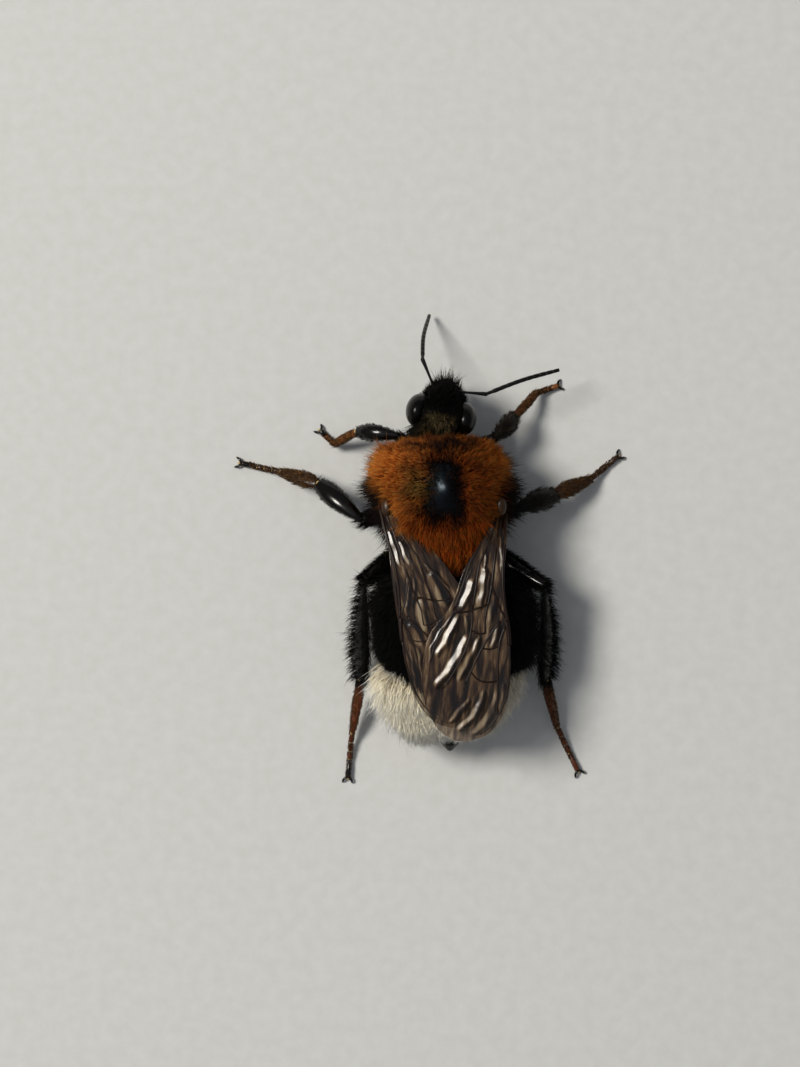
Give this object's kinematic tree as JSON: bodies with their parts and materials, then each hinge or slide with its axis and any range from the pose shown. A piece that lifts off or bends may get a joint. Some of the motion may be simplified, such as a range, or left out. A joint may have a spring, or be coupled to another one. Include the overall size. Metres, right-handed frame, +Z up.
{
  "type": "tree bumblebee",
  "caption": "Still, life-size model of a tree bumblebee: ginger thorax, black body, pale tail, smoky wings folded over the back, standing on its feet.",
  "frame": {"origin": "middle of the floor under the bee, midway between its foremost and hindmost and its leftmost and rightmost points", "axes": "+Z up, the head points towards -Y, and the bee's own left is +X"},
  "size_m": [0.0184, 0.0222, 0.0066],
  "materials": {
    "coat_ginger": "dense soft ginger hair, golden at the tips, worn to shiny black shell in the middle of the back",
    "coat_black": "dense soft black hair",
    "coat_cream": "soft creamy white hair",
    "cuticle_black": "glossy black insect shell",
    "cuticle_brown": "satin reddish brown insect shell with short golden hair",
    "eye_black": "glossy black compound eye with fine facets",
    "wing_membrane": "thin smoky brown translucent membrane with dark veins"
  },
  "bodies": {
    "root": {"head": "coat_black", "eye_left": "eye_black", "eye_right": "eye_black", "mandible_left": "cuticle_black", "mandible_right": "cuticle_black", "antenna_left_scape": "cuticle_black", "antenna_left_flagellum": "cuticle_black", "antenna_right_scape": "cuticle_black", "antenna_right_flagellum": "cuticle_black", "thorax": "coat_ginger", "tegula_left": "cuticle_brown", "tegula_right": "cuticle_brown", "wing_fore_left": "wing_membrane", "wing_fore_right": "wing_membrane", "wing_hind_left": "wing_membrane", "wing_hind_right": "wing_membrane", "abdomen": "coat_black", "tail": "coat_cream", "sting": "cuticle_black", "leg_front_left_femur": "coat_black", "leg_front_left_tibia": "coat_black", "leg_front_left_basitarsus": "cuticle_brown", "leg_front_left_foot": "cuticle_brown", "leg_front_right_femur": "coat_black", "leg_front_right_tibia": "coat_black", "leg_front_right_basitarsus": "cuticle_brown", "leg_front_right_foot": "cuticle_brown", "leg_middle_left_femur": "coat_black", "leg_middle_left_tibia": "coat_black", "leg_middle_left_basitarsus": "cuticle_brown", "leg_middle_left_foot": "cuticle_brown", "leg_middle_right_femur": "coat_black", "leg_middle_right_tibia": "coat_black", "leg_middle_right_basitarsus": "cuticle_brown", "leg_middle_right_foot": "cuticle_brown", "leg_hind_left_femur": "coat_black", "leg_hind_left_tibia": "coat_black", "leg_hind_left_basitarsus": "cuticle_brown", "leg_hind_left_foot": "cuticle_brown", "leg_hind_right_femur": "coat_black", "leg_hind_right_tibia": "coat_black", "leg_hind_right_basitarsus": "cuticle_brown", "leg_hind_right_foot": "cuticle_brown"}
  },
  "joints": []
}
